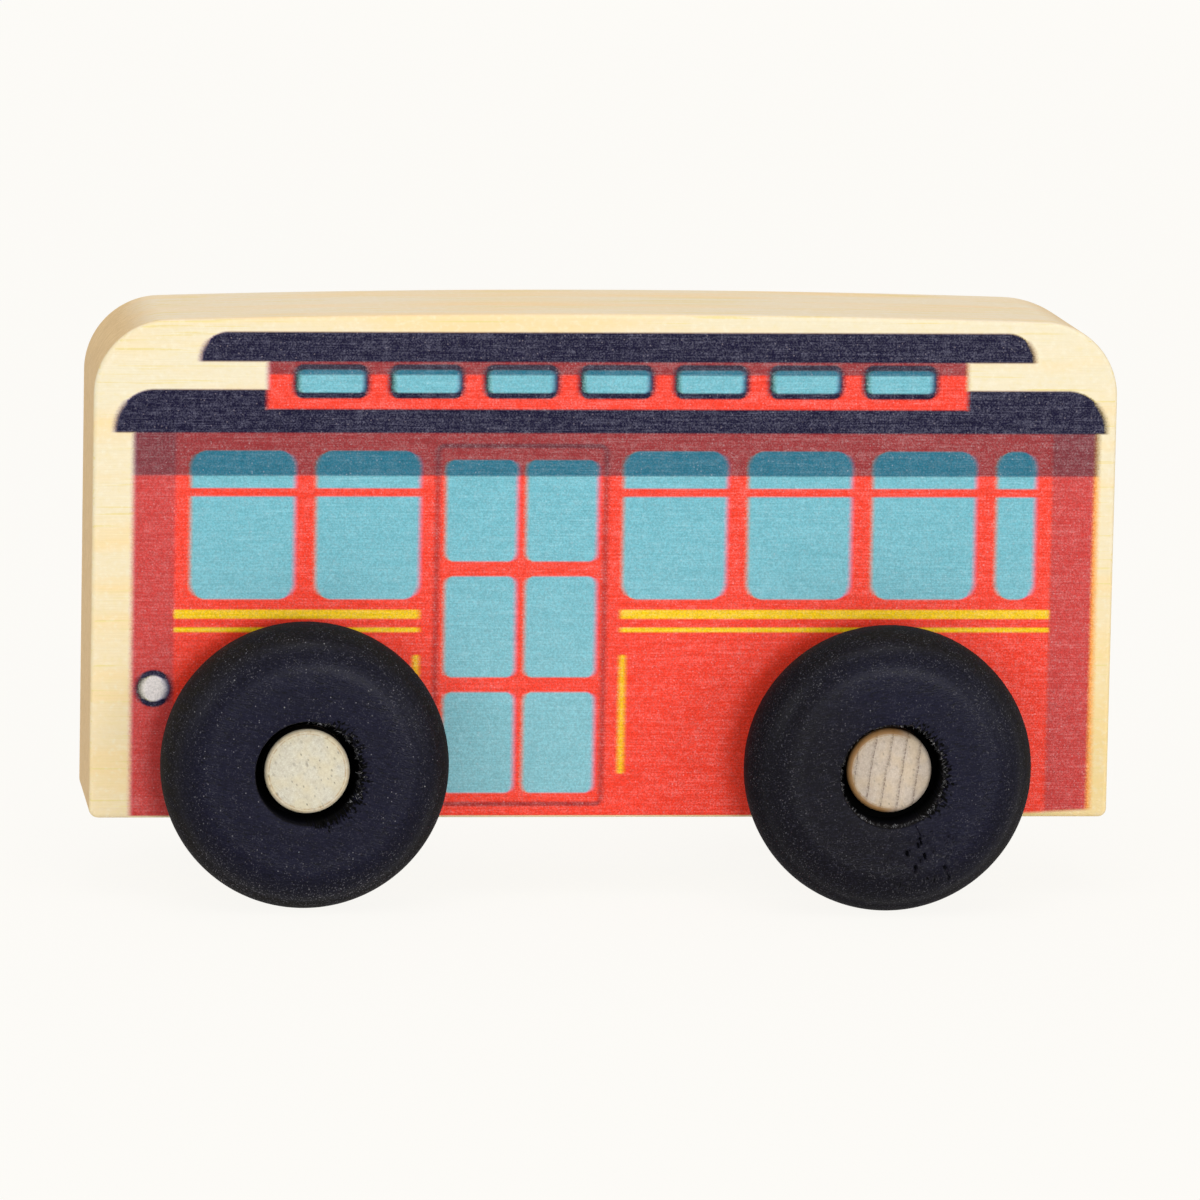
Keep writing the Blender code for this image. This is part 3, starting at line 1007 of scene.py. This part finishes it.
def birchMaterial(name, tones, centre, headRadius, headEnd, look):
    material, tree, shader = startMaterial(name, tones["specular"])
    place, _ = millimetres(tree, centre)
    x, y, z = splitAxes(place)
    disc = joinAxes(x, 0.0, z)
    radius = vectorCalc("LENGTH", disc)
    leaning = turned(place, (0, look["tilt"], 0))

    # End grain on the head: patches, fine grit, growth rings as near-straight dotted lines, pores in clusters
    mottle = noise(place, 1.6, 3.0, 0.7)
    grit = noise(place, 5.0, 2.0, 0.7)
    sap = ramp(noise(place, 0.35, 2.0, 0.5), 0.40, 0.66, top=0.40)
    wander = ramp(noise(leaning, 0.25, 1.0, 0.5), 0.0, 1.0, -0.2, 0.2)
    ringPlace = calc("DIVIDE", plus(splitAxes(leaning)[0], wander), tones["ringPitch"])
    ringPhase = calc("FRACT", ringPlace)
    lateWood = ramp(ringPhase, 0.30, 0.84)                             # darkens slowly,
    ringLine = times(lateWood, ramp(ringPhase, 0.90, 0.86))      # then ends sharply
    dots = ramp(noise(place, 4.0, 2.0, 0.6), 0.42, 0.58, 0.25, 1.0)
    ringLine = times(calc("POWER", ringLine, 6.0), dots)
    ringTone = plus(times(lateWood, 0.10), ringLine)
    coats = [
        (ramp(mottle, 0.34, 0.68, top=0.6), tones["dull"]),
        (ramp(grit, 0.54, 0.76, top=0.22), tones["pore"]),
        (ramp(grit, 0.48, 0.32, top=0.36), tones["white"]),
        (sap, tones["sap"]),
        (times(ringTone, look["rings"]), tones["ring"]),
    ]
    dash = vectorCalc("MULTIPLY", turned(place, (0, 25, 0)), (1.0, 1.0, 0.6))
    cluster = ramp(noise(place, 0.35, 1.0, 0.5), 0.38, 0.62, 0.2, 1.0)
    for spacing, spot in ((0.5, 0.15), (0.9, 0.21), (1.3, 0.26)):
        pore = scatter(dash, spacing, spot, 0.55)
        coats.append((times(pore, cluster, look["pores"]), tones["pore"]))
    head = paint(1.0, layers(tones["pale"], *coats), look["tint"], mode="MULTIPLY")

    # Two turning lines and a rim tone, partly burnish and partly painted shade, which keeps to one side
    rimStart = headRadius / mm - look["rim"]
    side = ramp(facingSide(disc, look["burnishSide"]),
                look["burnishReach"], look["burnishReach"] + 0.6)
    rim = ramp(radius, rimStart - 0.1, rimStart + 0.15, top=look["burnish"])
    coats = [(times(rim, side), look["burnishTone"])]
    uneven = ramp(mottle, 0.35, 0.60, 0.15, 0.70)
    for inset, strength in ((0.10, 1.0), (-0.20, 0.6)):
        fromLine = calc("ABSOLUTE", minus(radius, rimStart - inset))
        line = ramp(fromLine, 0.12, 0.03, top=strength)
        coats.append((times(line, uneven, side), tones["turning"]))

    # Below the rim: the side of the head darkened as painted shade, then straight grain down the shank
    depth = minus(headEnd / mm, calc("ABSOLUTE", y))
    shadedHeadSide = ramp(depth, look["rim"] - 0.05, look["rim"] + look["stainFade"])
    along = grainAlong(turned(place, (0, 0, 90)), 0.6, 0.12, 20.0)
    shank = paint(ramp(along["Fibre"], 0.35, 0.7), tones["shank"], tones["shankDark"])
    coats += [(shadedHeadSide, look["stain"]), (ramp(depth, 3.2, 3.6), shank)]
    feedAll(shader, {
        "Base Color": layers(head, *coats),
        "Roughness": ramp(mottle, 0.3, 0.7, 0.55, 0.75),
        "Normal": bump(minus(grit, ringLine), 0.3, 0.06 * mm),
    })
    return material


pegTree = makePegTree(peg)
for number, (end, hand, outward) in enumerate(axleEnds):
    node = f"{end}_{hand}_axle_peg"
    look = {title: values[number] for title, values in pegLooks.items()}
    low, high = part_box(node)
    centre, place = axlePlace(node, outward, fromMiddle=True)
    name = camelName(end, hand, "peg")
    headRadius = (high.z - low.z) / 2
    headEnd = max(abs(low.y), abs(high.y))
    wood = birchMaterial(name + "Birch", birch, centre, headRadius, headEnd, look)
    values = {**peg, "Head Radius": headRadius, "Head End": headEnd, "Tip": min(abs(low.y), abs(high.y)),
              "Rim Rounding": look["rim"] * mm, "Material": wood}
    piece = growPiece(name, pegTree, values, place)
    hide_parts(node)
    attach(piece, "block")
print("pegs built")


# Stage: pale floor that keeps the shadow, soft light, camera at the photograph's angle

stage = {
    "floorSize": 12.0,
    "floorColour": (0.86, 0.84, 0.80),
    "backgroundColour": (1.000, 0.985, 0.950),
    "glow": 0.92,           # share of the floor that camera and mirror rays see as plain background
    "skyStrength": 0.55,
}
lamps = {
    # name: (direction from the toy in degrees: turn to the right of the front, rise), distance, size, watts
    "key": (10, 5, 1.6, 0.45, 7.6),
    "rightFill": (45, 11, 1.5, 0.45, 2.6),
    "leftFill": (-52, 22, 1.5, 0.5, 2.8),
    "topFill": (0, 75, 1.5, 1.0, 5.0),
    "backFill": (172, 5, 1.6, 0.45, 5.0),
}
view = {
    "aim": (0.0, -0.011, 0.0445),
    "aimPixel": (604.645, 566.40),
    "imageSize": 1200,
    "azimuth": -6.013,
    "elevation": 10.232,
    "roll": 1.103,
    "distance": 1.603,
    "pixelsPerMetre": 7550.4,
    "sensor": 36.0,
}


def seenShare(tree):
    # 1 for rays that show the background itself, 0 for rays that carry light to the toy
    path = tree.nodes.new("ShaderNodeLightPath").outputs
    return largest(*(path[f"Is {kind} Ray"] for kind in ("Camera", "Glossy", "Transmission")))


def buildFloor(sizes):
    bm = bmesh.new()
    bmesh.ops.create_grid(bm, x_segments=1, y_segments=1, size=sizes["floorSize"] / 2)
    floor = linkMesh("studioFloor", bm)
    material = bpy.data.materials.new("paleFloor")
    material.use_nodes = True
    tree = material.node_tree
    tree.nodes.remove(tree.nodes["Principled BSDF"])
    matt = addNode("ShaderNodeBsdfDiffuse", {"Color": sizes["floorColour"]}, tree)
    plain = addNode("ShaderNodeEmission", {"Color": sizes["backgroundColour"], "Strength": 1.0}, tree)
    share = times(seenShare(tree), sizes["glow"])
    mix = addNode("ShaderNodeMixShader", {0: share, 1: matt, 2: plain})
    feed(tree.nodes["Material Output"].inputs["Surface"], mix)
    floor.data.materials.append(material)


def buildWorld(sizes):
    world = bpy.data.worlds.new("studioSky")
    world.use_nodes = True
    tree = world.node_tree
    tree.nodes.remove(tree.nodes["Background"])
    soft = addNode("ShaderNodeBackground", {"Color": (1, 1, 1), "Strength": sizes["skyStrength"]}, tree)
    plain = addNode("ShaderNodeBackground", {"Color": sizes["backgroundColour"], "Strength": 1.0}, tree)
    mix = addNode("ShaderNodeMixShader", {0: seenShare(tree), 1: soft, 2: plain})
    feed(tree.nodes["World Output"].inputs["Surface"], mix)
    bpy.context.scene.world = world


def directionFrom(turn, rise):
    turn = math.radians(turn)
    rise = math.radians(rise)
    return Vector((math.sin(turn) * math.cos(rise), -math.cos(turn) * math.cos(rise), math.sin(rise)))


def buildLamps(specs, aim):
    for name, (turn, rise, distance, size, watts) in specs.items():
        lamp = bpy.data.lights.new(name, "AREA")
        lamp.shape = "DISK"
        lamp.size = size
        lamp.energy = watts
        item = linkObject(name, lamp)
        back = directionFrom(turn, rise)
        item.location = aim + back * distance
        item.rotation_euler = back.to_track_quat("Z", "Y").to_euler()
        item.visible_glossy = name != "backFill"    # it lifts the far side without glaring off the roof


def buildCamera(spec):
    back = directionFrom(spec["azimuth"], spec["elevation"])
    level = Vector((0, 0, 1)).cross(back).normalized()
    upright = back.cross(level)
    roll = math.radians(spec["roll"])
    right = level * math.cos(roll) + upright * math.sin(roll)
    up = upright * math.cos(roll) - level * math.sin(roll)
    middle = spec["imageSize"] / 2
    slide = right * (middle - spec["aimPixel"][0]) - up * (middle - spec["aimPixel"][1])
    place = Vector(spec["aim"]) + back * spec["distance"] + slide / spec["pixelsPerMetre"]
    camera = bpy.data.cameras.new("photoCamera")
    camera.sensor_width = spec["sensor"]
    camera.lens = spec["pixelsPerMetre"] * spec["distance"] * spec["sensor"] / spec["imageSize"]
    camera.clip_end = 50
    item = linkObject("photoCamera", camera)
    axes = Matrix((right, up, back)).transposed()
    item.matrix_world = Matrix.Translation(place) @ axes.to_4x4()
    bpy.context.scene.camera = item


buildFloor(stage)
buildWorld(stage)
buildLamps(lamps, Vector(view["aim"]))
buildCamera(view)
bpy.context.scene.view_settings.view_transform = "Standard"
print("stage built")
